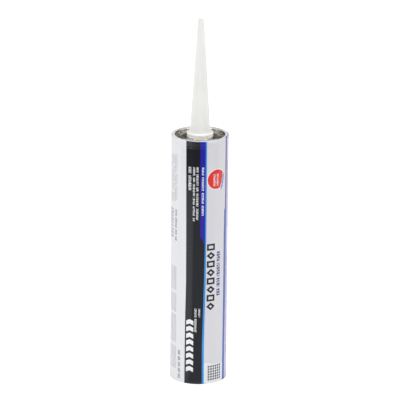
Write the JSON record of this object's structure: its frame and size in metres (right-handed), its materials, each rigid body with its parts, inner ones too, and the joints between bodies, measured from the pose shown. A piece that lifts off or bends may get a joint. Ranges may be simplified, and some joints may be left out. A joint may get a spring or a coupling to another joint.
{
  "type": "construction adhesive cartridge",
  "caption": "Cylindrical adhesive cartridge standing upright: film-wrapped fibre tube, recessed sheet-metal end with a long closed tapered spout, and a wiper plunger up its open rear.",
  "frame": {"origin": "centre of the tube's rear edge, which the cartridge stands on", "axes": "+Z along the tube's axis towards the spout's tip, -Y towards the front of the label"},
  "size_m": [0.0496, 0.0496, 0.321],
  "materials": {
    "fibre_board": "uncoated wound fibre board, matt",
    "film_white": "white shrink film, semi-gloss",
    "ink_dark": "near-black ink under gloss film",
    "ink_blue": "deep blue ink under gloss film",
    "ink_light_blue": "light blue ink under gloss film",
    "ink_grey": "pale grey ink under gloss film",
    "ink_violet": "violet ink under gloss film",
    "ink_violet_line": "blue ink under gloss film",
    "ink_red": "red ink under gloss film",
    "ink_fold": "mid blue ink under gloss film",
    "ink_pale": "white ink under gloss film",
    "ink_charcoal": "charcoal ink under gloss film",
    "ink_purple": "dark violet ink under gloss film",
    "ink_light_grey": "light grey ink under gloss film",
    "tinplate": "bright tinned sheet steel",
    "natural_polymer": "natural translucent polyethylene",
    "foil": "thin aluminium foil laminate",
    "plunger_polymer": "natural polyethylene",
    "paste": "smooth cream paste"
  },
  "bodies": {
    "cartridge": {"barrel": "fibre_board", "top_end": "tinplate", "label": "film_white", "print_dark_band": "ink_dark", "print_blue_band": "ink_blue", "print_light_line": "ink_light_blue", "print_grey_panel": "ink_grey", "print_violet_band": "ink_violet", "print_violet_line": "ink_violet_line", "print_badge": "ink_red", "print_badge_fold": "ink_fold", "print_pale_marks": "ink_pale", "print_dark_marks": "ink_charcoal", "print_violet_marks": "ink_purple", "print_grey_marks": "ink_light_grey", "spout": "natural_polymer", "foil_seal": "foil", "adhesive": "paste"},
    "plunger": {"plunger": "plunger_polymer"}
  },
  "joints": [
    {"name": "plunger_slide", "type": "slide", "parent": "cartridge", "child": "plunger", "axis": [0, 0, 1], "range_m": [0, 0.175], "deforming": ["adhesive"]}
  ]
}
